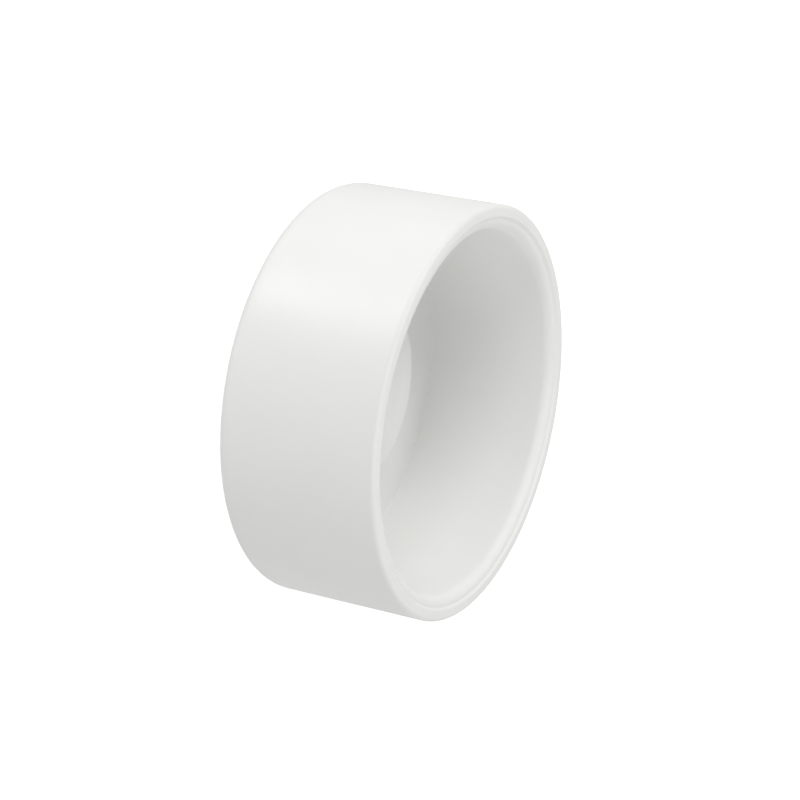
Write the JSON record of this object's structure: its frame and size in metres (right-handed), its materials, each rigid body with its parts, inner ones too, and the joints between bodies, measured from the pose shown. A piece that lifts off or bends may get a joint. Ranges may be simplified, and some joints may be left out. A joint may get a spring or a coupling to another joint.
{
  "type": "pipe cap",
  "caption": "Round socket cap that closes the end of a drain pipe: a short smooth skirt, a rounded closed end, and a stepped mouth that leads into a plain glue socket.",
  "frame": {"origin": "centre of the closed end's outer face, on the surface that the cap stands on", "axes": "+Z along the socket's axis and out of its mouth; the cap is round, so X and Y are any two directions across it"},
  "size_m": [0.0692, 0.0692, 0.0289],
  "materials": {
    "white_pvc": "satin gloss, as moulded"
  },
  "bodies": {
    "root": {"cap_body": "white_pvc"}
  },
  "joints": []
}
